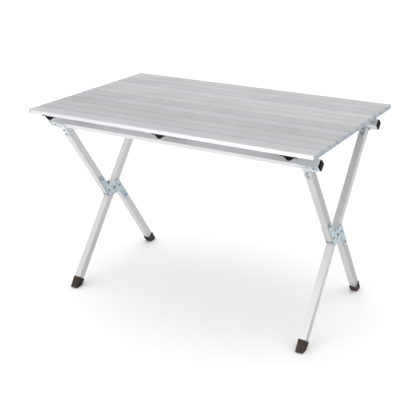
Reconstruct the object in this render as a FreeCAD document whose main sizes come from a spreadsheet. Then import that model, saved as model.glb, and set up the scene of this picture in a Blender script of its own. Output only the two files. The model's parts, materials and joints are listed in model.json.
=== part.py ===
"""Roll-top camping table on a folding scissor frame, as a FreeCAD document.

Millimetres. +Z is up, +X is the table's long direction, and the front is at -Y.
The origin is on the ground under the middle of the top.
The frame is two U-shaped halves that turn about one axis along X:
the front half carries the front rail, the split legs and the rear feet,
and the back half carries the back rail, the straight legs and the front feet.
"""

import FreeCAD, Part
import math
import os

from FreeCAD import Placement, Rotation, Vector

SIZES = {
    "table_height": 740.0,
    "slat_length": 1100.0,
    "slat_pitch": 58.0,
    "slat_height": 15.0,
    "slat_wall": 1.2,
    "slat_count": 12,
    "bead_radius": 2.0,
    "bead_depth": 3.2,
    "end_cap_thickness": 5.0,
    "end_cap_plug": 14.0,
    "rail_side": 28.0,
    "rail_wall": 1.5,
    "rail_length": 1066.0,
    "rail_offset": 264.0,
    "rail_height": 678.0,
    "frame_shift": 14.0,
    "rail_cap_thickness": 5.0,
    "pivot_height": 338.0,
    "leg_offset": 488.0,
    "leg_width": 25.0,
    "leg_depth": 28.0,
    "leg_wall": 1.5,
    "leg_shift": 30.0,
    "plate_thickness": 2.0,
    "plate_gap": 0.3,
    "rivet_radius": 2.5,
    "pin_radius": 4.0,
    "foot_width": 29.0,
    "foot_depth": 32.0,
    "foot_reach": 40.0,
    "bracket_thickness": 2.0,
    "bracket_width": 56.0,
    "saddle_width": 50.0,
    "clip_width": 58.0,
}

doc = FreeCAD.newDocument("roll_top_table")
sheet = doc.addObject("Spreadsheet::Sheet", "Sizes")
for row, (alias, number) in enumerate(SIZES.items(), start=1):
    sheet.set("A%d" % row, alias)
    sheet.set("B%d" % row, str(number))
    sheet.setAlias("B%d" % row, alias)
doc.recompute()


def size(alias):
    """The value of one driving dimension, in millimetres."""
    return float(getattr(sheet, alias))


# ---------------------------------------------------------------- helpers

pieces = []


def keep(piece, node):
    """Name a finished sub-part and put it on the list that is written out."""
    piece.Label = node
    pieces.append(piece)
    return piece


def keep_copies(name, node, body, places):
    """One node that holds a separate solid of the same piece at each place."""
    solids = []
    for place in places:
        solid = body.Shape.copy()
        solid.translate(place)
        solids.append(solid)
    return keep_group(name, node, solids)


def keep_group(name, node, solids):
    """One node that holds several separate solids."""
    group = doc.addObject("Part::Feature", name)
    group.Shape = Part.makeCompound(solids)
    return keep(group, node)


def loop(points):
    """A closed run of straight edges. A point written as (y, z, "arc") is the middle of an arc."""
    edges = []
    count = len(points)
    start = 0
    while start < count:
        here = Vector(points[start][0], points[start][1], 0)
        following = points[(start + 1) % count]
        if len(following) == 3:
            middle = Vector(following[0], following[1], 0)
            last = points[(start + 2) % count]
            edges.append(Part.Arc(here, middle, Vector(last[0], last[1], 0)))
            start += 2
        else:
            edges.append(Part.LineSegment(here, Vector(following[0], following[1], 0)))
            start += 1
    return edges


def ring(y, z, radius):
    """A full circle for a sketch."""
    return [Part.Circle(Vector(y, z, 0), Vector(0, 0, 1), radius)]


def rectangle(low_y, low_z, high_y, high_z):
    """A closed rectangle for a sketch."""
    return loop([(low_y, low_z), (high_y, low_z), (high_y, high_z), (low_y, high_z)])


def chamfered(low_y, low_z, high_y, high_z, corner):
    """A closed rectangle with its four corners cut off."""
    return loop([
        (low_y + corner, low_z), (high_y - corner, low_z),
        (high_y, low_z + corner), (high_y, high_z - corner),
        (high_y - corner, high_z), (low_y + corner, high_z),
        (low_y, high_z - corner), (low_y, low_z + corner)])


def new_body(name):
    return doc.addObject("PartDesign::Body", name)


def add_sketch(body, plane, edges, offset=0.0):
    """A sketch on one of the body's own origin planes."""
    sketch = body.newObject("Sketcher::SketchObject", body.Name + "_sketch")
    origin_plane = [item for item in body.Origin.OriginFeatures if item.Role == plane][0]
    sketch.AttachmentSupport = [(origin_plane, "")]
    sketch.MapMode = "FlatFace"
    sketch.AttachmentOffset = Placement(Vector(0, 0, offset), Rotation())
    sketch.addGeometry(edges, False)
    return sketch


def pad(body, sketch, length, midplane=False):
    """Pad a sketch by a length that is a number or an expression on the sheet."""
    feature = body.newObject("PartDesign::Pad", body.Name + "_pad")
    feature.Profile = sketch
    feature.Midplane = midplane
    set_length(feature, length)
    sketch.Visibility = False
    doc.recompute()
    return feature


def pocket(body, sketch, length, midplane=True):
    """Cut a sketch out of the body, and make sure that it really cuts."""
    before = body.Shape.Volume
    feature = body.newObject("PartDesign::Pocket", body.Name + "_pocket")
    feature.Profile = sketch
    feature.Midplane = midplane
    set_length(feature, length)
    sketch.Visibility = False
    doc.recompute()
    if body.Shape.Volume > before - 0.5:
        raise RuntimeError("%s: a pocket removed nothing" % body.Name)
    return feature


def set_length(feature, length):
    if isinstance(length, str):
        feature.setExpression("Length", length)
    else:
        feature.Length = length


def along_leg(x, y, z, tilt):
    """A leg's frame: local Z runs up the tube, and local Y across it, away from the front."""
    return Placement(Vector(x, y, z), Rotation(Vector(1, 0, 0), tilt))


# ---------------------------------------------------------------- worked-out sizes

TOP = size("table_height")
UNDERSIDE = TOP - size("slat_height")
PITCH = size("slat_pitch")
COUNT = int(size("slat_count"))
RAIL_Y = size("rail_offset")
RAIL_Z = size("rail_height")
RAIL_HALF = size("rail_side") / 2
PIVOT_Z = size("pivot_height")
PIVOT_Y = size("frame_shift")
SHIFT = size("leg_shift")
LEG_X = size("leg_offset")
LEG_HALF = size("leg_depth") / 2

# Both rails are equally far from the pivot axis. The straight leg aims at the back rail's
# centre, and the upper split leg, which runs beside the pivot, aims at the front rail's.
REACH = math.hypot(RAIL_Y, RAIL_Z - PIVOT_Z)
STRAIGHT_TILT = math.degrees(math.atan2(RAIL_Y, RAIL_Z - PIVOT_Z))
SPLIT_TILT = STRAIGHT_TILT - math.degrees(math.asin(SHIFT / REACH))
SPLIT_REACH = math.sqrt(REACH ** 2 - SHIFT ** 2)


def end_gap(tilt):
    """How far short of the rail's centre a leg ends, so that it clears the diamond's corner."""
    return RAIL_HALF * math.sqrt(2) * math.cos(math.radians(tilt)) + 0.2


# ---------------------------------------------------------------- slats of the top

HOOK_OUTER = 3.2
HOOK_INNER = size("bead_radius") + 0.1
NECK_HALF = 0.7
MOUTH_TOP = 126.0
MOUTH_BOTTOM = 210.0
REAR_WALL = 3.4
FRONT_WALL = 3.1
EDGE_ROUND = 3.0
EDGE_ROUND_MIDDLE = 0.9
EDGE_CHAMFER = 1.5
CELL_INSET = 3.4
CAP_CLEARANCE = 0.4
CAP_CHAMFER = 1.0
PLUG_FIT = 0.15


def around(y, z, radius, degrees):
    """A point on a circle in the section plane."""
    angle = math.radians(degrees)
    return (y + radius * math.cos(angle), z + radius * math.sin(angle))


def slat_outline(hooked, beaded):
    """The slat's outer section about its own middle, with its top face at zero.

    The front edge is a hook that holds the slat in front by its bead,
    and the rear edge is the bead that the next slat's hook holds.
    """
    half = PITCH / 2
    low = -size("slat_height")
    hinge = -size("bead_depth")
    bead = size("bead_radius")
    points = []
    if beaded:
        wall = half - REAR_WALL
        neck = half - math.sqrt(bead ** 2 - NECK_HALF ** 2)
        points += [(wall, 0), (wall, hinge + NECK_HALF), (neck, hinge + NECK_HALF)]
        points += [(half + bead, hinge, "arc"), (neck, hinge - NECK_HALF)]
        points += [(wall, hinge - NECK_HALF), (wall, low)]
    else:
        points += [(half - EDGE_ROUND, 0), (half - EDGE_ROUND_MIDDLE, -EDGE_ROUND_MIDDLE, "arc")]
        points += [(half, -EDGE_ROUND), (half, low + EDGE_CHAMFER), (half - EDGE_CHAMFER, low)]
    if hooked:
        wall = FRONT_WALL - half
        drop = math.sqrt(HOOK_OUTER ** 2 - FRONT_WALL ** 2)
        first = -math.degrees(math.atan2(drop, FRONT_WALL))
        last = MOUTH_BOTTOM - 360
        points += [(wall, low), (wall, hinge - drop)]
        points += [around(-half, hinge, HOOK_OUTER, (first + last) / 2) + ("arc",)]
        points += [around(-half, hinge, HOOK_OUTER, last), around(-half, hinge, HOOK_INNER, last)]
        points += [around(-half, hinge, HOOK_INNER, (last + MOUTH_TOP) / 2) + ("arc",)]
        points += [around(-half, hinge, HOOK_INNER, MOUTH_TOP)]
        points += [around(-half, hinge, HOOK_OUTER, MOUTH_TOP)]
        points += [around(-half, hinge, HOOK_OUTER, (MOUTH_TOP + 90) / 2) + ("arc",), (-half, 0)]
    else:
        points += [(EDGE_CHAMFER - half, low), (-half, low + EDGE_CHAMFER), (-half, -EDGE_ROUND)]
        points += [(EDGE_ROUND_MIDDLE - half, -EDGE_ROUND_MIDDLE, "arc"), (EDGE_ROUND - half, 0)]
    return points


def make_slat(number):
    """One hollow slat with two cells, and the pair of plastic caps that close its ends."""
    hooked = number > 1
    beaded = number < COUNT
    wall = size("slat_wall")
    front = (FRONT_WALL if hooked else 0) + CELL_INSET - PITCH / 2
    rear = PITCH / 2 - (REAR_WALL if beaded else 0) - wall
    low = wall - size("slat_height")
    centre = (number - (COUNT + 1) / 2) * PITCH
    body = new_body("Slat")
    edges = loop(slat_outline(hooked, beaded))
    edges += rectangle(front, low, -wall / 2, -wall)
    edges += rectangle(wall / 2, low, rear, -wall)
    pad(body, add_sketch(body, "YZ_Plane", edges), "Sizes.slat_length", midplane=True)
    body.Placement = Placement(Vector(0, centre, TOP), Rotation())
    keep(body, "slat_%02d" % number)
    make_slat_caps(number, front, rear, Vector(0, centre, TOP))


def make_slat_caps(number, front, rear, place):
    """A flange on each end of a slat, with two plugs that fill the ends of its cells."""
    wall = size("slat_wall")
    half = size("slat_length") / 2
    low = -size("slat_height")
    flange_front = front - CELL_INSET + (CAP_CLEARANCE if number > 1 else 0)
    flange_rear = rear + wall - CAP_CLEARANCE / 2
    flange = chamfered(flange_front, low, flange_rear, 0, CAP_CHAMFER)
    floor = low + wall + PLUG_FIT
    ceiling = -wall - PLUG_FIT
    plugs = rectangle(front + PLUG_FIT, floor, -wall / 2 - PLUG_FIT, ceiling)
    plugs += rectangle(wall / 2 + PLUG_FIT, floor, rear - PLUG_FIT, ceiling)
    cap = new_body("SlatEndCap")
    outward = add_sketch(cap, "YZ_Plane", flange, half + size("end_cap_thickness") / 2)
    pad(cap, outward, "Sizes.end_cap_thickness", midplane=True)
    inward = add_sketch(cap, "YZ_Plane", plugs, half - size("end_cap_plug") / 2)
    pad(cap, inward, "Sizes.end_cap_plug", midplane=True)
    pair = [cap.Shape.mirror(Vector(), Vector(1, 0, 0)), cap.Shape.copy()]
    for solid in pair:
        solid.translate(place)
    keep_group("SlatEndCaps", "slat_%02d_end_caps" % number, pair)


for slat_number in range(1, COUNT + 1):
    make_slat(slat_number)


# ---------------------------------------------------------------- saddles and clips under the top

SADDLE_X = (-400.0, 0.0, 400.0)
SADDLE_FLANGE = 3.0
SADDLE_LEDGE = 20.0
SADDLE_HALF = 8.0
SADDLE_TONGUE = 9.0
SADDLE_SKIN = 3.0
SADDLE_CLEARANCE = 0.35


def make_saddles(rail_y, node):
    """Three blocks that hang from a slat and sit astride the upper corner of the rail."""
    apex = (RAIL_HALF + SADDLE_CLEARANCE) * math.sqrt(2)
    step = SADDLE_TONGUE / math.sqrt(2)
    skin = SADDLE_SKIN / math.sqrt(2)
    roof = UNDERSIDE - RAIL_Z
    ledge = roof - SADDLE_FLANGE
    side = [(step, apex - step), (step + skin, apex - step + skin)]
    side += [(SADDLE_HALF, apex + 2 * skin - SADDLE_HALF)]
    points = [(0, apex)] + side + [(SADDLE_HALF, roof), (-SADDLE_LEDGE, roof), (-SADDLE_LEDGE, ledge)]
    points += [(-SADDLE_HALF, ledge)] + [(-y, z) for y, z in reversed(side)]
    saddle = new_body("Saddle")
    pad(saddle, add_sketch(saddle, "YZ_Plane", loop(points)), "Sizes.saddle_width", midplane=True)
    keep_copies("Saddles", node, saddle, [Vector(x, rail_y, RAIL_Z) for x in SADDLE_X])


make_saddles(PIVOT_Y - RAIL_Y, "front_saddles")
make_saddles(PIVOT_Y + RAIL_Y, "back_saddles")

CLIP_X = (-468.0, 0.0, 468.0)
CLIP_DROP = 15.0
CLIP_PLATE = 3.0
CLIP_DEPTH = 24.0
CLIP_TIP = 5.0
CLIP_SHOULDER = 9.0
TONGUE_CORNER = 3.0
TONGUE_LIP = 2.0
TONGUE_THICKNESS = 10.0
TONGUE_BACK = 7.0
EDGE_MARGIN = 2.0


def make_clips(node):
    """Three clips under the front edge: a flat plate with a pointed tongue that hangs from it."""
    clip = new_body("Clip")
    plate = rectangle(0, -CLIP_PLATE, CLIP_DEPTH, 0)
    pad(clip, add_sketch(clip, "YZ_Plane", plate), "Sizes.clip_width", midplane=True)
    wide = size("clip_width") / 2 - CLIP_SHOULDER
    lip = -CLIP_PLATE - TONGUE_LIP
    half = [(CLIP_TIP, -CLIP_DROP), (wide - TONGUE_CORNER, lip), (wide, -CLIP_PLATE / 2)]
    tongue = loop([(-x, z) for x, z in reversed(half)] + half)
    pad(clip, add_sketch(clip, "XZ_Plane", tongue, -TONGUE_BACK), TONGUE_THICKNESS, midplane=True)
    front = EDGE_MARGIN - PITCH * COUNT / 2
    keep_copies("Clips", node, clip, [Vector(x, front, UNDERSIDE) for x in CLIP_X])


make_clips("front_edge_clips")


# ---------------------------------------------------------------- tubes

def make_tube(node, width, depth, wall, length, side_holes=(), face_holes=()):
    """A rectangular tube up local Z, drilled through its sides (along X) or its faces (along Y)."""
    body = new_body("Tube")
    edges = rectangle(-width / 2, -depth / 2, width / 2, depth / 2)
    edges += rectangle(wall - width / 2, wall - depth / 2, width / 2 - wall, depth / 2 - wall)
    pad(body, add_sketch(body, "XY_Plane", edges), length)
    if side_holes:
        circles = []
        for y, z, radius in side_holes:
            circles += ring(y, z, radius)
        pocket(body, add_sketch(body, "YZ_Plane", circles), "Sizes.leg_width * 2")
    if face_holes:
        circles = []
        for x, z, radius in face_holes:
            circles += ring(x, z, radius)
        pocket(body, add_sketch(body, "XZ_Plane", circles), "Sizes.leg_depth * 2")
    return keep(body, node)


HOLE = size("rivet_radius") + 0.03
TAB_RIVETS = (14.0, 34.0)
STRIP_RIVET = 27.0
RAIL_CAP_OVERHANG = 0.4
RAIL_CAP_CORNER = 2.0
RAIL_CAP_PLUG = 12.0


def make_rail(name, sign):
    """A square tube set on its corner, with its local Z along the table and two plugged ends."""
    length = size("rail_length")
    out = LEG_X + STRIP_RIVET
    holes = [(0, length / 2 + x, HOLE) for x in (-out, out)]
    rail = make_tube("%s_rail" % name, size("rail_side"), size("rail_side"), size("rail_wall"),
                     "Sizes.rail_length", side_holes=holes if sign > 0 else (),
                     face_holes=holes if sign < 0 else ())
    lie = Rotation(Vector(0, 1, 0), 90)
    roll = Rotation(Vector(1, 0, 0), 45)
    rail.Placement = Placement(Vector(-length / 2, PIVOT_Y + sign * RAIL_Y, RAIL_Z), roll * lie)
    for side, word in ((-1, "left"), (1, "right")):
        cap = new_body("RailCap")
        half = RAIL_HALF + RAIL_CAP_OVERHANG
        inner = RAIL_HALF - size("rail_wall") - 0.1
        flange = chamfered(-half, -half, half, half, RAIL_CAP_CORNER)
        pad(cap, add_sketch(cap, "XY_Plane", flange), "Sizes.rail_cap_thickness")
        plug = rectangle(-inner, -inner, inner, inner)
        pad(cap, add_sketch(cap, "XY_Plane", plug, -RAIL_CAP_PLUG), RAIL_CAP_PLUG)
        turn = lie if side > 0 else Rotation(Vector(0, 1, 0), -90)
        cap.Placement = Placement(Vector(side * length / 2, PIVOT_Y + sign * RAIL_Y, RAIL_Z), roll * turn)
        keep(cap, "%s_rail_cap_%s" % (name, word))


make_rail("front", -1)
make_rail("back", 1)


# ---------------------------------------------------------------- legs

PLATE_TAIL = 88.0
PLATE_ROW = SHIFT * math.tan(math.radians(SPLIT_TILT))
HALF_START = 12.0
SOLE_THICKNESS = 4.0
SOLE_CORNER = 5.0
HEEL_HEIGHT = 9.0


def foot_lift(tilt):
    """Height of a leg's centre line where the tube ends inside its foot."""
    return LEG_HALF * math.sin(math.radians(tilt)) + SOLE_THICKNESS


def make_legs(side, word):
    """One end of the table: the straight leg and the two halves of the split leg."""
    x = side * LEG_X
    width = size("leg_width")
    depth = size("leg_depth")
    wall = size("leg_wall")

    lean = math.radians(STRAIGHT_TILT)
    down = (PIVOT_Z - foot_lift(STRAIGHT_TILT)) / math.cos(lean)
    length = down + REACH - end_gap(STRAIGHT_TILT)
    straight = make_tube("straight_leg_%s" % word, width - 2 * size("plate_gap"), depth, wall, length,
                         side_holes=[(0, down, size("pin_radius") + 0.06)],
                         face_holes=[(0, length - tab, HOLE) for tab in TAB_RIVETS])
    base_y = PIVOT_Y - down * math.sin(lean)
    base_z = PIVOT_Z - down * math.cos(lean)
    straight.Placement = along_leg(x, base_y, base_z, -STRAIGHT_TILT)

    lean = math.radians(SPLIT_TILT)
    length = SPLIT_REACH - end_gap(SPLIT_TILT) - HALF_START
    upper = make_tube("split_leg_upper_%s" % word, width, depth, wall, length,
                      side_holes=[(0, at - HALF_START, HOLE) for at in (PLATE_ROW, PLATE_TAIL)],
                      face_holes=[(0, length - tab, HOLE) for tab in TAB_RIVETS])
    base_y = PIVOT_Y - SHIFT * math.cos(lean) - HALF_START * math.sin(lean)
    base_z = PIVOT_Z - SHIFT * math.sin(lean) + HALF_START * math.cos(lean)
    upper.Placement = along_leg(x, base_y, base_z, SPLIT_TILT)

    down = (PIVOT_Z + SHIFT * math.sin(lean) - foot_lift(SPLIT_TILT)) / math.cos(lean)
    lower = make_tube("split_leg_lower_%s" % word, width, depth, wall, down - HALF_START,
                      side_holes=[(0, down - PLATE_ROW, HOLE), (0, down - PLATE_TAIL, HOLE)])
    base_y = PIVOT_Y + SHIFT * math.cos(lean) + down * math.sin(lean)
    base_z = PIVOT_Z + SHIFT * math.sin(lean) - down * math.cos(lean)
    lower.Placement = along_leg(x, base_y, base_z, SPLIT_TILT)


def make_foot(node, side, tilt, floor_y):
    """A shoe with a flat sole: its sides follow the leg, and its top is square to it."""
    lean = math.radians(tilt)
    half = size("foot_depth") / 2
    up = (math.sin(-lean), math.cos(lean))
    across = (math.cos(lean), math.sin(lean))

    def at(w, along):
        return (floor_y + across[0] * w + up[0] * along, across[1] * w + up[1] * along)

    def on_side(w, height):
        return at(w, (height - across[1] * w) / up[1])

    heel = on_side(-half, HEEL_HEIGHT)
    toe = on_side(half, HEEL_HEIGHT)
    reach = size("foot_reach")
    outline = [heel, (heel[0] + SOLE_CORNER, 0), (toe[0] - SOLE_CORNER, 0), toe]
    outline += [at(half, reach), at(-half, reach)]
    foot = new_body("Foot")
    pad(foot, add_sketch(foot, "YZ_Plane", loop(outline)), "Sizes.foot_width", midplane=True)
    bore = LEG_HALF + 0.1
    start = foot_lift(abs(tilt)) / up[1] - 0.1
    socket = loop([at(-bore, start), at(bore, start), at(bore, reach + 5), at(-bore, reach + 5)])
    pocket(foot, add_sketch(foot, "YZ_Plane", socket), "Sizes.leg_width + 0.2")
    foot.Placement = Placement(Vector(side * LEG_X, 0, 0), Rotation())
    keep(foot, node)


# ---------------------------------------------------------------- offset plates at the pivot

def local_point(along, across):
    """A point beside the pivot, from its distances along and across the split leg."""
    lean = math.radians(SPLIT_TILT)
    y = PIVOT_Y + across * math.cos(lean) - along * math.sin(lean)
    z = PIVOT_Z + across * math.sin(lean) + along * math.cos(lean)
    return (y, z)


PLATE_HALF = 13.0
PLATE_END = 104.0
PLATE_HEEL = 8.0
PLATE_NOTCH = 38.0
PLATE_RIVETS = ((PLATE_ROW, -SHIFT), (PLATE_TAIL, -SHIFT), (-PLATE_ROW, SHIFT), (-PLATE_TAIL, SHIFT))


def make_plate(node, x):
    """A Z-shaped plate that joins the two halves of the split leg past the straight leg."""
    inside = SHIFT - PLATE_HALF
    outside = SHIFT + PLATE_HALF
    round_start = PLATE_END - PLATE_HALF
    bulge = PLATE_HALF / math.sqrt(2)
    wing = [(-PLATE_HEEL, -outside), (round_start, -outside), (round_start + bulge, -SHIFT - bulge, "arc"),
            (PLATE_END, -SHIFT), (round_start + bulge, -SHIFT + bulge, "arc"), (round_start, -inside),
            (PLATE_NOTCH, -inside)]
    points = []
    for sign in (1, -1):
        for corner in wing:
            points.append(local_point(sign * corner[0], sign * corner[1]) + tuple(corner[2:]))
    edges = loop(points)
    edges += ring(PIVOT_Y, PIVOT_Z, size("pin_radius") + 0.02)
    for along, across in PLATE_RIVETS:
        y, z = local_point(along, across)
        edges += ring(y, z, HOLE)
    plate = new_body("OffsetPlate")
    pad(plate, add_sketch(plate, "YZ_Plane", edges), "Sizes.plate_thickness", midplane=True)
    plate.Placement = Placement(Vector(x, 0, 0), Rotation())
    keep(plate, node)


# ---------------------------------------------------------------- brackets at the rails

BRACKET_CLEAR = 0.1
BRACKET_STEP = 0.6
BRACKET_LIP = 13.0
NARROW_HEEL = 9.0
WIDE_HEEL = RAIL_HALF + 0.4
TAB_MARGIN = 11.0
ARM_CURVE = 12.0
THROUGH = 80.0


def bracket_profile(face, lean, gap):
    """Section of a bracket in its leg's frame, measured from the leg's top end.

    It lies on one face of the leg, steps to the diamond of the rail and lies on that.
    face is -1 or 1, and lean is how far the rail's face turns towards the leg's length.
    """
    thick = size("bracket_thickness")
    turn = math.radians(lean)
    normal = (face * math.cos(turn), math.sin(turn))
    along = (-face * math.sin(turn), math.cos(turn))
    away = RAIL_HALF + BRACKET_CLEAR
    centre = (away * normal[0], gap + away * normal[1])
    heel = -NARROW_HEEL if lean < 0 else -WIDE_HEEL
    low = (centre[0] + heel * along[0], centre[1] + heel * along[1])
    high = (centre[0] + BRACKET_LIP * along[0], centre[1] + BRACKET_LIP * along[1])
    outer_low = (low[0] + thick * normal[0], low[1] + thick * normal[1])
    outer_high = (high[0] + thick * normal[0], high[1] + thick * normal[1])
    skin = face * (LEG_HALF + BRACKET_CLEAR)
    tab_end = -TAB_RIVETS[1] - TAB_MARGIN
    outline = [(skin, tab_end), (skin, BRACKET_STEP), low, high, outer_high, outer_low]
    outline += [(skin + face * thick, 0.0), (skin + face * thick, tab_end)]
    return outline, centre, normal


def make_bracket(node, side, tilt, top_y, top_z, face, lean, gap):
    """A pressed plate with a tab down the leg and an arm out along the rail."""
    profile, centre, normal = bracket_profile(face, lean, gap)
    bracket = new_body("Bracket")
    reach = size("bracket_width")
    inner = size("leg_width") / 2
    shift = side * (reach / 2 - inner - 4)
    blank = add_sketch(bracket, "YZ_Plane", loop(profile), shift)
    pad(bracket, blank, "Sizes.bracket_width", midplane=True)
    low = -TAB_RIVETS[1] - 2 * TAB_MARGIN
    middle = ARM_CURVE * (1 - 1 / math.sqrt(2))
    outside = [(side * inner, low), (side * inner, BRACKET_STEP - ARM_CURVE)]
    outside += [(side * (inner + middle), BRACKET_STEP - middle, "arc")]
    outside += [(side * (inner + ARM_CURVE), BRACKET_STEP), (side * reach, BRACKET_STEP), (side * reach, low)]
    inside = [(-side * inner, low), (-side * inner, BRACKET_STEP)]
    inside += [(-side * reach, BRACKET_STEP), (-side * reach, low)]
    pocket(bracket, add_sketch(bracket, "XZ_Plane", loop(outside) + loop(inside)), THROUGH)
    holes = []
    for tab in TAB_RIVETS:
        holes += ring(0, -tab, HOLE)
    pocket(bracket, add_sketch(bracket, "XZ_Plane", holes), THROUGH)
    solid = bracket.Shape.copy()
    drill = Part.makeCylinder(HOLE, 30, Vector(side * STRIP_RIVET, centre[0], centre[1]),
                              Vector(0, normal[0], normal[1]))
    solid = solid.cut(drill)
    solid.Placement = along_leg(side * LEG_X, top_y, top_z, tilt).multiply(solid.Placement)
    piece = doc.addObject("Part::Feature", "BracketDrilled")
    piece.Shape = solid
    keep(piece, node)


# ---------------------------------------------------------------- rivets and pins

PLATE_HEAD = 5.2
BRACKET_HEAD = 4.6
PIN_HEAD = 7.0


def rivet_shape(length, radius, head):
    """A rivet up Z between two raised heads, whose bearing faces are length apart."""
    rise = head * 0.4
    crown = head * 0.55
    shank = Part.makeCylinder(radius, length)
    first = Part.makeCone(crown, head, rise, Vector(0, 0, -rise))
    second = Part.makeCone(head, crown, rise, Vector(0, 0, length))
    return shank.fuse([first, second]).removeSplitter()


def rivet_at(base, direction, length, radius=None, head=PLATE_HEAD):
    """A rivet whose first bearing face is at base, and which runs along direction."""
    shape = rivet_shape(length, radius or size("rivet_radius"), head)
    shape.Placement = Placement(base, Rotation(Vector(0, 0, 1), direction))
    return shape


PLATE_X = size("leg_width") / 2 + size("plate_gap") + size("plate_thickness") / 2
PLATE_SPAN = 2 * PLATE_X + size("plate_thickness")


def frame_end(side, word, rivets):
    """Everything at one end of the table that belongs to the scissor."""
    make_legs(side, word)
    lean = math.radians(STRAIGHT_TILT)
    make_foot("front_foot_%s" % word, side, -STRAIGHT_TILT, PIVOT_Y - PIVOT_Z * math.tan(lean))
    split = math.radians(SPLIT_TILT)
    rear = PIVOT_Y + SHIFT / math.cos(split) + PIVOT_Z * math.tan(split)
    make_foot("rear_foot_%s" % word, side, SPLIT_TILT, rear)
    make_plate("offset_plate_outer_%s" % word, side * (LEG_X + PLATE_X))
    make_plate("offset_plate_inner_%s" % word, side * (LEG_X - PLATE_X))

    start = Vector(side * LEG_X - PLATE_SPAN / 2, PIVOT_Y, PIVOT_Z)
    pin = doc.addObject("Part::Feature", "PivotPin")
    pin.Shape = rivet_at(start, Vector(1, 0, 0), PLATE_SPAN, size("pin_radius"), PIN_HEAD)
    keep(pin, "pivot_pin_%s" % word)
    for along, across in PLATE_RIVETS:
        y, z = local_point(along, across)
        rivets["plate"].append(rivet_at(Vector(start.x, y, z), Vector(1, 0, 0), PLATE_SPAN))

    corners = (
        ("front", SPLIT_TILT, PIVOT_Y - RAIL_Y, 45 - SPLIT_TILT, 1),
        ("back", -STRAIGHT_TILT, PIVOT_Y + RAIL_Y, 45 - STRAIGHT_TILT, -1))
    for name, tilt, rail_y, lean_angle, sense in corners:
        gap = end_gap(abs(tilt))
        turn = math.radians(tilt)
        top_y = rail_y + gap * math.sin(turn)
        top_z = RAIL_Z - gap * math.cos(turn)
        frame = along_leg(side * LEG_X, top_y, top_z, tilt)
        for face in (-1, 1):
            lower = (face < 0) == (name == "front")
            node = "%s_bracket_%s_%s" % (name, "lower" if lower else "upper", word)
            lean_here = sense * face * lean_angle
            make_bracket(node, side, tilt, top_y, top_z, face, lean_here, gap)
            centre, normal = bracket_profile(face, lean_here, gap)[1:]
            thick = size("bracket_thickness")
            out = Vector(0, normal[0], normal[1])
            grip = thick + size("rail_wall") + BRACKET_CLEAR
            base = Vector(side * STRIP_RIVET, centre[0], centre[1]) + out * thick
            inwards = frame.Rotation.multVec(out * -1)
            rivets[name].append(rivet_at(frame.multVec(base), inwards, grip, head=BRACKET_HEAD))
        span = size("leg_depth") + 2 * (size("bracket_thickness") + BRACKET_CLEAR)
        for tab in TAB_RIVETS:
            base = frame.multVec(Vector(0, -span / 2, -tab))
            across = frame.Rotation.multVec(Vector(0, 1, 0))
            rivets[name].append(rivet_at(base, across, span, head=BRACKET_HEAD))


rivet_lists = {"plate": [], "front": [], "back": []}
for end_side, end_word in ((-1, "left"), (1, "right")):
    frame_end(end_side, end_word, rivet_lists)
keep_group("PlateRivets", "offset_plate_rivets", rivet_lists["plate"])
keep_group("FrontRivets", "front_bracket_rivets", rivet_lists["front"])
keep_group("BackRivets", "back_bracket_rivets", rivet_lists["back"])

# ---------------------------------------------------------------- checks and files

doc.recompute()
for item in doc.Objects:
    if "Invalid" in item.State or "Error" in item.State:
        raise RuntimeError("%s did not recompute" % item.Label)
for piece in pieces:
    if piece.Shape.isNull() or not piece.Shape.isValid() or piece.Shape.Volume <= 0:
        raise RuntimeError("%s has no valid shape" % piece.Label)

os.makedirs("parts", exist_ok=True)
for piece in pieces:
    piece.Shape.exportStep("parts/%s.step" % piece.Label)
print("wrote", len(pieces), "nodes; tilts", round(STRAIGHT_TILT, 2), round(SPLIT_TILT, 2))
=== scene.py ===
# %% [markdown]
# # A roll-top camping table
# The table is made of twelve hollow aluminium slats, hooked together edge to edge, that lie on two
# square rails. The rails stand on edge and are carried by a folding scissor frame of rectangular
# tubes. The shapes that move or carry load come in as a fixed frame. This lesson gives each of them
# its finish, and remodels the small fittings and the shoes so that their edges catch the light.

# %% Load the fixed frame
import json
import math

import bmesh
import bpy
from mathutils import Matrix, Vector


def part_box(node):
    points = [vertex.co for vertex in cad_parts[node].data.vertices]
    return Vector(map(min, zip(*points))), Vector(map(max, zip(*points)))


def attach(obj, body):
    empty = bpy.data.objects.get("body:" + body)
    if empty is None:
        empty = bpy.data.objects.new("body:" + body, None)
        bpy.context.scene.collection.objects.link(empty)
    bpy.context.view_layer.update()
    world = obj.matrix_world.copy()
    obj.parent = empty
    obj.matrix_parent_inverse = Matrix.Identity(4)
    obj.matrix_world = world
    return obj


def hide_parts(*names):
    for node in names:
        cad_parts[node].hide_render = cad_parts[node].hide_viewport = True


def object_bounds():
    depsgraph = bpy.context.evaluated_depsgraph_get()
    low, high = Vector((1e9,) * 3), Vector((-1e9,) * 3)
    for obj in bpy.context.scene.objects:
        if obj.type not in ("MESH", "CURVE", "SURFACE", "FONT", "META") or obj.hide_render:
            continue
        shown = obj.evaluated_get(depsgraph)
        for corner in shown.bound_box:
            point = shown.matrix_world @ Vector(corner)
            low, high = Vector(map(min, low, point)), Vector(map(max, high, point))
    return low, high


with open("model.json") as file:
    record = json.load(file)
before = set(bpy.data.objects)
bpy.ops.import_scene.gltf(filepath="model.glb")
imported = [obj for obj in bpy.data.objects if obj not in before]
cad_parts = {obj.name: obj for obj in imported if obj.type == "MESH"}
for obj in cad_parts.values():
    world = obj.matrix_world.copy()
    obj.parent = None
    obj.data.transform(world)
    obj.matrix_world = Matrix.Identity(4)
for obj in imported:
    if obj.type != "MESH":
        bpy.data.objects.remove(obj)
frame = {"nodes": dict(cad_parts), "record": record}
cad_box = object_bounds()
SLATS = sorted(name for name in frame["nodes"] if name[:5] == "slat_" and name[5:].isdigit())
SIDES = ("left", "right")
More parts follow.
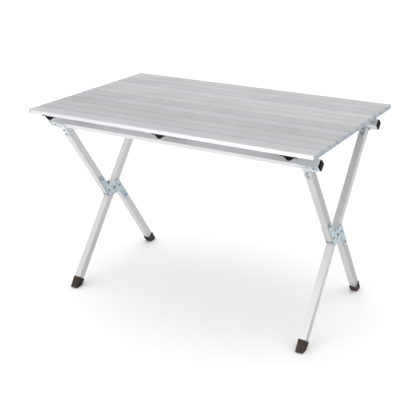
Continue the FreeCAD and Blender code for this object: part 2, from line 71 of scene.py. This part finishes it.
print("the frame holds", len(frame["nodes"]), "nodes, of which", len(SLATS), "are slats")

# %% [markdown]
# ## Camera
# The table is seen from the front and its right, from a little above. The lens is fairly long, so
# the far end of the top is only slightly smaller than the near end. The small shift slides the
# picture on the sensor without turning the camera, as a view camera does.

# %% Camera
SENSOR = 36.0
TARGET = Vector((0.0746, 0.0, 0.4237))
DISTANCE = 2.936
AZIMUTH = math.radians(29.21)
ELEVATION = math.radians(20.73)
LENS = 1.9002 * SENSOR
SLIDE_X = -0.0529
SLIDE_Y = -0.0385

away = Vector((math.sin(AZIMUTH) * math.cos(ELEVATION),
               -math.cos(AZIMUTH) * math.cos(ELEVATION),
               math.sin(ELEVATION)))
camera_data = bpy.data.cameras.new("camera")
camera_data.sensor_width = SENSOR
camera_data.lens = LENS
camera_data.shift_x = SLIDE_X
camera_data.shift_y = SLIDE_Y
camera = bpy.data.objects.new("camera", camera_data)
camera.location = TARGET + DISTANCE * away
camera.rotation_euler = (-away).to_track_quat("-Z", "Y").to_euler()
bpy.context.scene.collection.objects.link(camera)
bpy.context.scene.camera = camera
print("the camera stands", round(DISTANCE, 2), "m from the point it looks at")

# %% [markdown]
# ## Writing shader maths as Python
# A finish is a graph of nodes. Wiring each node by hand hides the idea, so a small class wraps one
# output socket and gives it the usual operators: `1 - mask` then adds a Math node by itself.
# Every other node comes from one method, which takes its type, its settings and its inputs.


# %% A socket with operators
class Signal:
    def __init__(self, shader, socket):
        self.shader = shader
        self.socket = socket

    def maths(self, operation, *values):
        inputs = dict(enumerate(values))
        return self.shader.node("Math", {"operation": operation}, inputs)

    def __add__(self, other):
        return self.maths("ADD", self, other)

    def __mul__(self, other):
        return self.maths("MULTIPLY", self, other)

    def __rsub__(self, other):
        return self.maths("SUBTRACT", other, self)

    __radd__ = __add__
    __rmul__ = __mul__


# %% A material and its node method
class Shader:
    def __init__(self, name, **constants):
        self.material = bpy.data.materials.new(name)
        self.material.use_nodes = True
        self.tree = self.material.node_tree
        self.surface = self.tree.nodes["Principled BSDF"]
        for socket, number in constants.items():
            self.surface.inputs[socket.replace("_", " ")].default_value = number

    def node(self, kind, settings=None, inputs=None, output=0):
        node = self.tree.nodes.new("ShaderNode" + kind)
        for setting, choice in (settings or {}).items():
            setattr(node, setting, choice)
        for socket, given in (inputs or {}).items():
            if isinstance(given, Signal):
                self.tree.links.new(given.socket, node.inputs[socket])
            else:
                node.inputs[socket].default_value = given
        return Signal(self, node.outputs[output])

    def feed(self, **signals):
        for socket, signal in signals.items():
            self.tree.links.new(signal.socket, self.surface.inputs[socket.replace("_", " ")])

    def place(self):
        """Object coordinates, which are metres in the table's own frame."""
        return self.node("TexCoord", output="Object")

    def along_axis(self, axis):
        """One coordinate of the place: X, Y or Z."""
        return self.node("SeparateXYZ", inputs={"Vector": self.place()}, output=axis)

    def stretched(self, scale, turn=0.0):
        """Object coordinates, turned about X and then scaled: a small number makes long lines."""
        inputs = {"Vector": self.place(), "Angle": turn}
        turned = self.node("VectorRotate", {"rotation_type": "X_AXIS"}, inputs)
        return self.node("Mapping", inputs={"Vector": turned, "Scale": scale})

    def noise(self, vector, scale, detail, roughness=0.5):
        inputs = {"Vector": vector, "Scale": scale, "Detail": detail, "Roughness": roughness}
        return self.node("TexNoise", inputs=inputs)

    def levels(self, signal, low, high):
        """0 below low, 1 above high."""
        return self.node("MapRange", inputs={"Value": signal, "From Min": low, "From Max": high})

    def blend(self, factor, first, second):
        """first is a colour or a Signal of one, and second is a colour."""
        start = first if isinstance(first, Signal) else (*first, 1)
        return self.node("Mix", {"data_type": "RGBA"}, {0: factor, 6: start, 7: (*second, 1)}, 2)

    def bump(self, height, depth, strength):
        """depth is how deep the full height is, in metres."""
        return self.node("Bump", inputs={"Height": height, "Distance": depth, "Strength": strength})


print("materials are written with Shader and Signal")

# %% [markdown]
# ## Satin aluminium
# The slats and tubes are extruded, so the die leaves fine lines along their length, and the
# anodising turns them satin. Lines like that are noise, drawn out until they are some two or three
# hundred times longer than wide. The same lines tilt the surface a hair, which draws the
# reflections out sideways. A second, cloudy noise stands for handling: it makes patches a little
# duller and warmer. A third, very fine one makes small dark specks.
#
# Three more touches are worked out from a coordinate, and all three are painted light: painted
# shade in the seams between slats, painted shade on a leg's side walls, which makes them darker
# than its faces, and a painted highlight on the front wall of the top.


# %% Shades of a colour
def shaded(colour, shade):
    return tuple(shade * part for part in colour)


def tinted(colour, tint):
    return tuple(part * share for part, share in zip(colour, tint))


# %% Painted shade in the seams and on side walls, a painted highlight on the front wall
# SEAM_ values give the painted shade in the seams between slats.
SEAM_SHADE = 0.30
SEAM_STRENGTH = 0.9
SEAM_CORE = 0.010
SEAM_EDGE = 0.034
# WALL_ values set where the painted shade on a leg's side walls fades out.
WALL_CORE = 0.0003
WALL_EDGE = 0.0009
# FRONT_ values give the painted highlight on the top's front wall.
FRONT_HIGHLIGHT = (0.68, 0.69, 0.705)
FRONT_CORE = 0.0004
FRONT_EDGE = 0.0012


# Paints shade into the seams where the slats meet.
def painted_seam_shade(shader, finished, colour, start, pitch):
    """start is the place of one seam along Y, and pitch is the distance to the next.

    The painted shade is full within SEAM_CORE and gone at SEAM_EDGE, which are shares of the pitch."""
    share = (shader.along_axis("Y") + -start) * (1 / pitch)
    from_seam = share.maths("PINGPONG", share, 0.5)
    seam_shade_mask = 1 - shader.levels(from_seam, SEAM_CORE, SEAM_EDGE)
    return shader.blend(seam_shade_mask * SEAM_STRENGTH, finished, shaded(colour, SEAM_SHADE))


# Paints shade on a tube's side walls, so they are darker than its faces.
def painted_wall_shade(shader, finished, colour, low, high, shade):
    """low and high are the X of a tube's two side walls."""
    across = shader.along_axis("X")
    inwards = across.maths("PINGPONG", across + -low, (high - low) / 2)
    wall_shade_mask = 1 - shader.levels(inwards, WALL_CORE, WALL_EDGE)
    return shader.blend(wall_shade_mask, finished, shaded(colour, shade))


# Paints a highlight on the top's front wall, lighter than the slat.
def painted_front_highlight(shader, finished, front):
    """front is the Y of the top's front wall."""
    front_highlight_mask = 1 - shader.levels(shader.along_axis("Y"), front + FRONT_CORE, front + FRONT_EDGE)
    return shader.blend(front_highlight_mask, finished, FRONT_HIGHLIGHT)


# %% Satin aluminium
LINE_SHADE = 0.82
LINE_DEPTH = 0.00003
CLOUD_SCALE = 7.0
CLOUD_SHARE = 0.35
CLOUD_TINT = (1.0, 0.985, 0.95)
SPECK_SCALE = 900.0
SPECK_SHARE = 0.25
SPECK_SHADE = 0.7


def satin_aluminium(name, colour, along, turn=0.0, roughness=0.34, metal=0.75, seam=None, walls=None,
                    front=None):
    """turn brings the length of the piece onto an axis, and along is the scale on each axis.

    roughness is that of the bare metal between the lines, and metal is how metallic it is. seam is
    (start, pitch), walls is (low, high, shade) and front is a Y, as the helpers above have them."""
    shader = Shader(name, Metallic=metal)
    lines = shader.noise(shader.stretched(along, turn), scale=1.0, detail=3.0, roughness=0.65)
    fine = shader.levels(lines, 0.34, 0.66)
    patches = shader.noise(shader.place(), CLOUD_SCALE, detail=4.0, roughness=0.6)
    clouds = shader.levels(patches, 0.35, 0.7)
    specks = shader.levels(shader.noise(shader.place(), SPECK_SCALE, detail=1.0), 0.60, 0.78)
    lined = shader.blend(fine, shaded(colour, LINE_SHADE), colour)
    clouded = shader.blend(clouds * CLOUD_SHARE, lined, tinted(colour, CLOUD_TINT))
    finished = shader.blend(specks * SPECK_SHARE, clouded, shaded(colour, SPECK_SHADE))
    # Painted shade in the seams and on the side walls, and a painted highlight on the front wall.
    if seam:
        finished = painted_seam_shade(shader, finished, colour, *seam)
    if walls:
        finished = painted_wall_shade(shader, finished, colour, *walls)
    if front is not None:
        finished = painted_front_highlight(shader, finished, front)
    shader.feed(Base_Color=finished,
                Roughness=roughness + 0.10 * fine + 0.06 * clouds + 0.08 * specks,
                Normal=shader.bump(fine, LINE_DEPTH, strength=0.7))
    return shader.material


# %% [markdown]
# ## Twelve slats, twelve tones
# Anodising never takes quite evenly, and the slats of one top come from different batches, so each
# has its own shade of silver. The tones go from the front slat to the back one: a brightness, and
# a tint towards blue, green or rose. Every slat knows where the seams are, because they repeat at
# the pitch of the slats, and where the front wall is, which only the first slat reaches.

# %% Slat materials
BLUISH = (0.965, 0.99, 1.035)
GREENISH = (0.975, 1.005, 1.0)
ROSE = (1.0, 0.985, 1.01)
PLAIN = (0.985, 0.995, 1.02)
TONES = ((0.70, PLAIN), (0.655, BLUISH), (0.66, GREENISH), (0.63, ROSE), (0.69, BLUISH), (0.65, PLAIN),
         (0.73, GREENISH), (0.735, ROSE), (0.77, PLAIN), (0.71, BLUISH), (0.74, PLAIN), (0.75, GREENISH))
SLAT_SILVER = 0.93
LENGTHWISE = 5.0
SLAT_LINES = 1500.0
top_low, top_high = cad_box
PITCH = (top_high.y - top_low.y) / len(SLATS)


def give(node, material):
    """Makes material the only one on a node of the frame."""
    slots = frame["nodes"][node].data.materials
    slots.clear()
    slots.append(material)


# Each slat gets painted shade at its seams, and the front slat gets a painted highlight on its wall.
for slat, (tone, tint) in zip(SLATS, TONES):
    colour = shaded(tint, SLAT_SILVER * tone)
    give(slat, satin_aluminium(slat + "_silver", colour, along=(LENGTHWISE, SLAT_LINES, SLAT_LINES),
                               seam=(top_low.y, PITCH), front=top_low.y))
print(len(SLATS), "slats have a silver of their own")

# %% [markdown]
# ## Tubes
# The rails run along X, so their lines need no turn. The legs lean, so their coordinates are first
# turned about X until the leg stands along Z. The lean is read from each leg's own mesh: its widest
# wall stands square to the leg's length. The side walls carry painted shade, which makes them darker
# than the faces, most of all on the split leg at the right. The rails have a softer, less mirrored
# finish than the legs, and a lighter silver that is painted light.


# %% Reading a leg's lean
def lean_of(node):
    """The angle about X from upright, from the largest face that doesn't look along X."""
    mesh = frame["nodes"][node].data
    walls = [face for face in mesh.polygons if abs(face.normal.x) < 0.1]
    widest = max(walls, key=lambda face: face.area)
    normal = widest.normal if widest.normal.y > 0 else -widest.normal
    return math.atan2(normal.z, normal.y)


# %% Tube materials
# The rails' silver is lighter than the legs' as painted light, for faces that lie under the top.
RAIL_LIT_SILVER = (0.80, 0.81, 0.825)
TUBE_SILVER = (0.725, 0.725, 0.735)
# Painted shade on the legs' side walls, darkest on the split leg at the right.
WALL_SHADES = {"split_leg_upper_right": 0.60, "split_leg_lower_right": 0.62}
PLAIN_WALL_SHADE = 0.80
TUBE_LINES = 900.0
RAIL_ROUGHNESS = 0.50
RAIL_METAL = 0.35
LEG_ROUGHNESS = 0.36
for rail in ("front_rail", "back_rail"):
    give(rail, satin_aluminium(rail + "_silver", RAIL_LIT_SILVER, along=(LENGTHWISE, TUBE_LINES, TUBE_LINES),
                               roughness=RAIL_ROUGHNESS, metal=RAIL_METAL))
for part in ("straight_leg", "split_leg_upper", "split_leg_lower"):
    for side in SIDES:
        leg = part + "_" + side
        lean = lean_of(leg)
        low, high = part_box(leg)
        shade = WALL_SHADES.get(leg, PLAIN_WALL_SHADE)
        give(leg, satin_aluminium(leg + "_silver", TUBE_SILVER, along=(TUBE_LINES, TUBE_LINES, LENGTHWISE),
                                  turn=-lean, roughness=LEG_ROUGHNESS, walls=(low.x, high.x, shade)))
        print(leg, "leans", round(math.degrees(lean), 1), "degrees")

# %% [markdown]
# ## Zinc plate
# The offset plates and the brackets are stamped steel with a bright zinc coat. The coat is pale
# blue, with faint cloudy mottling where the zinc has crystallised and a straw tint here and there.
# The brackets at the rails are a paler batch than the plates at the pivot.


# %% Zinc plate
CRYSTAL_SCALE = 120.0
CRYSTAL_BLUE = (0.62, 0.68, 0.71)
CRYSTAL_SHARE = 0.22
MOTTLE_SCALE = 60.0
STRAW_SCALE = 22.0
STRAW = (0.56, 0.54, 0.47)
STRAW_SHARE = 0.35
ZINC_DEPTH = 0.00004


def zinc(name, shade, light):
    """shade and light are the two tones of the clouds."""
    shader = Shader(name, Metallic=1.0)
    inputs = {"Vector": shader.place(), "Scale": CRYSTAL_SCALE, "Randomness": 1.0}
    cells = shader.node("TexVoronoi", {"feature": "F1"}, inputs, "Color")
    crystals = shader.node("SeparateColor", inputs={"Color": cells}, output=0)
    mottle = shader.noise(shader.place(), MOTTLE_SCALE, detail=4.0, roughness=0.62)
    clouds = shader.levels(mottle, 0.40, 0.62)
    blue = shader.blend(clouds, shade, light)
    crystalled = shader.blend(crystals * CRYSTAL_SHARE, blue, CRYSTAL_BLUE)
    straw = shader.levels(shader.noise(shader.place(), STRAW_SCALE, detail=2.0), 0.58, 0.75)
    finished = shader.blend(straw * STRAW_SHARE, crystalled, STRAW)
    shader.feed(Base_Color=finished,
                Roughness=0.26 + 0.14 * clouds + 0.06 * crystals,
                Normal=shader.bump(crystals + clouds, ZINC_DEPTH, strength=0.5))
    return shader.material


ZINC = zinc("blue_zinc", (0.27, 0.37, 0.43), (0.52, 0.61, 0.65))
PALE_ZINC = zinc("pale_zinc", (0.52, 0.58, 0.61), (0.80, 0.84, 0.86))
print("two batches of zinc are ready")

# %% [markdown]
# ## Steel, plastic and rubber
# The rivets are plain bright steel, dulled by their setting tool. The plastics are moulded, so they
# carry the fine leathery grain of the mould. The shoes are rubber: almost black with some brown,
# scored upwards by wear, very rough, and dusted where they touch the ground.


# %% Steel
DARK_STEEL = (0.13, 0.14, 0.15)
BRIGHT_STEEL = (0.34, 0.35, 0.36)
WEAR_SCALE = 320.0
WEAR_DEPTH = 0.00005


def steel(name):
    shader = Shader(name, Metallic=1.0)
    wear = shader.levels(shader.noise(shader.place(), WEAR_SCALE, detail=3.0), 0.35, 0.7)
    shader.feed(Base_Color=shader.blend(wear, DARK_STEEL, BRIGHT_STEEL),
                Roughness=0.24 + 0.20 * wear,
                Normal=shader.bump(wear, WEAR_DEPTH, strength=0.6))
    return shader.material


# %% Moulded plastic
GRAIN_SCALE = 1400.0
GRAIN_DEPTH = 0.00006
SCUFF_SCALE = 90.0
SCUFF_SHARE = 0.4


def moulded(name, colour, pale, roughness):
    """pale is the colour of scuffs and dust."""
    shader = Shader(name, Specular_IOR_Level=0.15)
    skin = shader.noise(shader.place(), GRAIN_SCALE, detail=2.0)
    rubbed = shader.noise(shader.place(), SCUFF_SCALE, detail=5.0, roughness=0.7)
    scuffs = shader.levels(rubbed, 0.56, 0.72)
    shader.feed(Base_Color=shader.blend(scuffs * SCUFF_SHARE, colour, pale),
                Roughness=roughness + 0.12 * scuffs + 0.08 * skin,
                Normal=shader.bump(skin, GRAIN_DEPTH, strength=0.8))
    return shader.material


# %% Rubber
DUST_HEIGHT = 0.018
RUBBER_BLACK = (0.010, 0.006, 0.005)
RUBBER_WORN = (0.17, 0.12, 0.11)
DUST = (0.12, 0.095, 0.075)
CRUMB_SCALE = 600.0
CRUMB_DEPTH = 0.00015
DUST_SCALE = 110.0
SCORES = (520.0, 520.0, 30.0)


def dusty_rubber(name):
    shader = Shader(name, Specular_IOR_Level=0.3)
    low = 1 - shader.levels(shader.along_axis("Z"), 0.0, DUST_HEIGHT)
    crumbs = shader.noise(shader.place(), CRUMB_SCALE, detail=4.0, roughness=0.6)
    dust = shader.levels(shader.noise(shader.place(), DUST_SCALE, detail=4.0), 0.42, 0.7)
    scored = shader.noise(shader.stretched(SCORES), scale=1.0, detail=2.0)
    streaks = shader.levels(scored, 0.52, 0.60)
    worn = shader.blend(streaks * 0.8, RUBBER_BLACK, RUBBER_WORN)
    shader.feed(Base_Color=shader.blend(low * dust * 0.5 + dust * 0.1, worn, DUST),
                Roughness=0.62 + 0.25 * dust,
                Normal=shader.bump(crumbs, CRUMB_DEPTH, strength=0.8))
    return shader.material


# %% Small-part finishes
STEEL = steel("rivet_steel")
BLACK = moulded("black_plastic", (0.0025, 0.0025, 0.003), (0.012, 0.012, 0.013), roughness=0.70)
BROWN_BLACK = moulded("dark_plastic", (0.008, 0.005, 0.004), (0.04, 0.032, 0.027), roughness=0.65)
SLATE = moulded("end_cap_plastic", (0.42, 0.45, 0.50), (0.55, 0.58, 0.62), roughness=0.45)
RUBBER = dusty_rubber("foot_rubber")
print("five small-part finishes are ready")

# %% [markdown]
# ## Softened fittings
# No stamped or moulded edge is a razor: each has a small radius, and that radius is what draws a
# bright line round a fitting. A fitting's design shape comes as loose triangles, so a copy of it
# is merged and its flat faces are joined again. The copy also drops the tags that mark a node of
# the frame. Then a Bevel modifier, limited to real edges, rounds them, and is applied.


# %% Selecting and rounding
def deselect():
    if bpy.context.object and bpy.context.object.mode != "OBJECT":
        bpy.ops.object.mode_set(mode="OBJECT")
    bpy.ops.object.select_all(action="DESELECT")


def pick(piece):
    deselect()
    piece.select_set(True)
    bpy.context.view_layer.objects.active = piece


REAL_EDGE = math.radians(28)
SMOOTH_BELOW = math.radians(35)


def round_edges(piece, radius, segments):
    pick(piece)
    bpy.ops.object.modifier_add(type="BEVEL")
    rounding = piece.modifiers[-1]
    rounding.width = radius
    rounding.segments = segments
    rounding.limit_method = "ANGLE"
    rounding.angle_limit = REAL_EDGE
    rounding.use_clamp_overlap = True
    bpy.ops.object.modifier_apply(modifier=rounding.name)
    bpy.ops.object.shade_smooth_by_angle(angle=SMOOTH_BELOW)


# %% A copy with rounded edges
SAME_CORNER = 0.000005
FLAT = math.radians(1.0)


def body_of(node):
    bodies = frame["record"]["behaviour"]["bodies"]
    return next(body for body, members in bodies.items() if node in members)


def softened(node, radius, material, segments=3, merge=SAME_CORNER):
    """merge is how near two corners have to be to become one."""
    pick(frame["nodes"][node])
    bpy.ops.object.duplicate()
    piece = bpy.context.object
    for tag in list(piece.keys()):
        del piece[tag]
    piece.name = node + "_rounded"
    bpy.ops.object.mode_set(mode="EDIT")
    bpy.ops.mesh.select_all(action="SELECT")
    bpy.ops.mesh.remove_doubles(threshold=merge)
    bpy.ops.mesh.dissolve_limited(angle_limit=FLAT)
    bpy.ops.object.mode_set(mode="OBJECT")
    round_edges(piece, radius, segments)
    piece.data.materials.clear()
    piece.data.materials.append(material)
    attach(piece, body_of(node))
    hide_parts(node)


# %% Plates, brackets, rivets, caps and clips
PLATE_EDGE = 0.0006
RAIL_CAP_EDGE = 0.0012
PIN_EDGE = 0.0008
RIVET_EDGE = 0.0005
CLIP_EDGE = 0.0008
SADDLE_EDGE = 0.0004
SADDLE_CORNER = 0.0008
SLAT_CAP_EDGE = 0.0006
for side in SIDES:
    for place in ("outer", "inner"):
        softened("offset_plate_" + place + "_" + side, PLATE_EDGE, ZINC)
    for rail in ("front", "back"):
        for place in ("lower", "upper"):
            softened(rail + "_bracket_" + place + "_" + side, PLATE_EDGE, PALE_ZINC)
        softened(rail + "_rail_cap_" + side, RAIL_CAP_EDGE, BROWN_BLACK)
    softened("pivot_pin_" + side, PIN_EDGE, STEEL)
for node in ("offset_plate_rivets", "front_bracket_rivets", "back_bracket_rivets"):
    softened(node, RIVET_EDGE, STEEL)
softened("front_edge_clips", CLIP_EDGE, BLACK)
for node in ("front_saddles", "back_saddles"):
    softened(node, SADDLE_EDGE, BLACK, segments=2, merge=SADDLE_CORNER)
for slat in SLATS:
    softened(slat + "_end_caps", SLAT_CAP_EDGE, SLATE)
print("the fittings have rounded edges")

# %% [markdown]
# ## Rubber shoes
# Each leg stands in a ribbed rubber shoe, squared to the tube and cut flat to the ground. It starts
# as a cube at the size of the shoe, still upright, with its sole drawn in a little. Bisecting it
# lengthwise divides every wall into narrow panels, and insetting each panel inwards leaves the ribs
# standing between them. Then it is leant over like its leg, and the part below the ground is cut off.


# %% Shoe helpers
def shoe_extent(node, direction):
    spans = [vertex.co.dot(direction) for vertex in frame["nodes"][node].data.vertices]
    return min(spans), max(spans)


def select_faces(shoe, wanted):
    """Selects the faces for which wanted(middle, normal) is true."""
    bpy.ops.mesh.select_all(action="DESELECT")
    edit = bmesh.from_edit_mesh(shoe.data)
    for face in edit.faces:
        if wanted(face.calc_center_median(), face.normal):
            face.select_set(True)
    bmesh.update_edit_mesh(shoe.data)


def cut(place, normal):
    bpy.ops.mesh.select_all(action="SELECT")
    bpy.ops.mesh.bisect(plane_co=place, plane_no=normal)


# %% Ribs
RIBS = 7
RIB_WIDTH = 0.0012
RIB_DEPTH = 0.0006
SOLE_TAPER = 0.92
RIBS_START = 0.16
RIBS_END = 0.82


def rib_walls(shoe, width, depth, height):
    """Leaves ribs between sunk panels on all four walls of a shoe that stands upright."""
    for index in range(1, RIBS):
        across = index / RIBS - 0.5
        cut((across * width, 0, 0), (1, 0, 0))
        cut((0, across * depth, 0), (0, 1, 0))
    for share in (RIBS_START, RIBS_END):
        cut((0, 0, share * height), (0, 0, 1))
    select_faces(shoe, lambda middle, normal: abs(normal.z) < 0.5
                 and RIBS_START * height < middle.z < RIBS_END * height)
    bpy.ops.mesh.inset(thickness=RIB_WIDTH / 2, depth=-RIB_DEPTH, use_individual=True)


# %% An upright shoe
SHOE_ROUNDING = 0.0004


def upright_shoe(name, width, depth, height):
    """A shoe that stands upright on the origin, with its ribs and rounded edges."""
    deselect()
    bpy.ops.mesh.primitive_cube_add(size=1, location=(0, 0, 0))
    shoe = bpy.context.object
    shoe.name = name
    shoe.scale = (width, depth, height)
    shoe.location = (0, 0, height / 2)
    bpy.ops.object.transform_apply(location=True, rotation=True, scale=True)
    bpy.ops.object.mode_set(mode="EDIT")
    select_faces(shoe, lambda middle, normal: normal.z < -0.5)
    bpy.ops.transform.resize(value=(SOLE_TAPER, SOLE_TAPER, 1))
    rib_walls(shoe, width, depth, height)
    bpy.ops.object.mode_set(mode="OBJECT")
    round_edges(shoe, SHOE_ROUNDING, segments=2)
    return shoe


# %% Leaning it over and cutting it flat
ON_THE_GROUND = 0.000001


def lean_over(shoe, axes, spans):
    """axes are the leg's own, and spans are the lowest and highest place of its foot on each."""
    (x_low, x_high), (y_low, y_high), (z_low, _) = spans
    turned = Matrix(axes).transposed().to_4x4()
    middle = Vector(((x_low + x_high) / 2, 0, 0))
    middle += axes[1] * (y_low + y_high) / 2 + axes[2] * z_low
    shoe.matrix_world = Matrix.Translation(middle) @ turned
    pick(shoe)
    bpy.ops.object.transform_apply(location=True, rotation=True, scale=True)


def cut_flat(shoe, height):
    """Cuts off what is below height, and closes the sole."""
    bpy.ops.object.mode_set(mode="EDIT")
    bpy.ops.mesh.select_all(action="SELECT")
    bpy.ops.mesh.bisect(plane_co=(0, 0, height), plane_no=(0, 0, 1), use_fill=True, clear_inner=True,
                        threshold=ON_THE_GROUND)
    bpy.ops.mesh.select_all(action="SELECT")
    bpy.ops.mesh.normals_make_consistent(inside=False)
    bpy.ops.object.mode_set(mode="OBJECT")


# %% One shoe
def make_shoe(node):
    lean = lean_of(node)
    outward = Vector((0, math.cos(lean), math.sin(lean)))
    upward = Vector((0, -math.sin(lean), math.cos(lean)))
    axes = (Vector((1, 0, 0)), outward, upward)
    spans = [shoe_extent(node, axis) for axis in axes]
    width, depth, height = (high - low for low, high in spans)
    shoe = upright_shoe(node + "_ribbed", width, depth, height)
    lean_over(shoe, axes, spans)
    cut_flat(shoe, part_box(node)[0].z)
    shoe.data.materials.append(RUBBER)
    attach(shoe, body_of(node))
    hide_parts(node)
    print(node, "is", round(width * 1000), "by", round(depth * 1000), "by", round(height * 1000), "mm")


# %% Four shoes
for end in ("front", "rear"):
    for side in SIDES:
        make_shoe(end + "_foot_" + side)

# %% [markdown]
# ## Floor and light
# The table stands in a white studio. The floor is a wide pale plane. Metal shows what is around it,
# so the world is a soft gradient, dark at the horizon and bright overhead, and two large softboxes
# light the slats from above and the legs from the front. The Standard view transform leaves white
# paper white.

# %% Floor
FLOOR_SIZE = 90.0
PAPER_GREY = (0.93, 0.93, 0.93)
PAPER_WHITE = (0.95, 0.95, 0.95)
deselect()
bpy.ops.mesh.primitive_plane_add(size=FLOOR_SIZE, location=(0, 0, 0))
floor = bpy.context.object
floor.name = "floor"
bpy.ops.object.transform_apply(location=True, rotation=True, scale=True)
paper = Shader("pale_floor", Roughness=0.9)
mottle = paper.noise(paper.place(), scale=3.0, detail=2.0)
paper.feed(Base_Color=paper.blend(mottle, PAPER_GREY, PAPER_WHITE))
floor.data.materials.append(paper.material)
print("the floor is", FLOOR_SIZE, "m across")

# %% World
SKY = ((0.0, 0.20), (0.35, 0.26), (0.70, 0.85), (1.0, 1.0))
SKY_STRENGTH = 1.65
bpy.context.scene.view_settings.view_transform = "Standard"
world = bpy.data.worlds.new("studio")
bpy.context.scene.world = world
world.use_nodes = True
sky = world.node_tree.nodes["Background"]
sky.inputs["Strength"].default_value = SKY_STRENGTH
toward = world.node_tree.nodes.new("ShaderNodeTexCoord")
split = world.node_tree.nodes.new("ShaderNodeSeparateXYZ")
ramp = world.node_tree.nodes.new("ShaderNodeValToRGB")
world.node_tree.links.new(toward.outputs["Generated"], split.inputs[0])
world.node_tree.links.new(split.outputs["Z"], ramp.inputs[0])
world.node_tree.links.new(ramp.outputs[0], sky.inputs["Color"])
while len(ramp.color_ramp.elements) < len(SKY):
    ramp.color_ramp.elements.new(position=0.5)
for stop, (height, brightness) in zip(ramp.color_ramp.elements, SKY):
    stop.position = height
    stop.color = (brightness, brightness, brightness, 1)
print("the sky has", len(SKY), "stops, from the horizon to straight up")


# %% Softboxes
TABLE_MIDDLE = Vector((0, 0, 0.5))


def softbox(name, place, size, power):
    data = bpy.data.lights.new(name, "AREA")
    data.shape = "RECTANGLE"
    data.size = size
    data.size_y = size
    data.energy = power
    lamp = bpy.data.objects.new(name, data)
    lamp.location = place
    lamp.rotation_euler = (TABLE_MIDDLE - Vector(place)).to_track_quat("-Z", "Y").to_euler()
    bpy.context.scene.collection.objects.link(lamp)


softbox("overhead", place=(-1.0, 1.2, 3.4), size=2.5, power=8)
softbox("front", place=(-0.8, -3.4, 1.1), size=1.8, power=26)
print("two softboxes light the table")
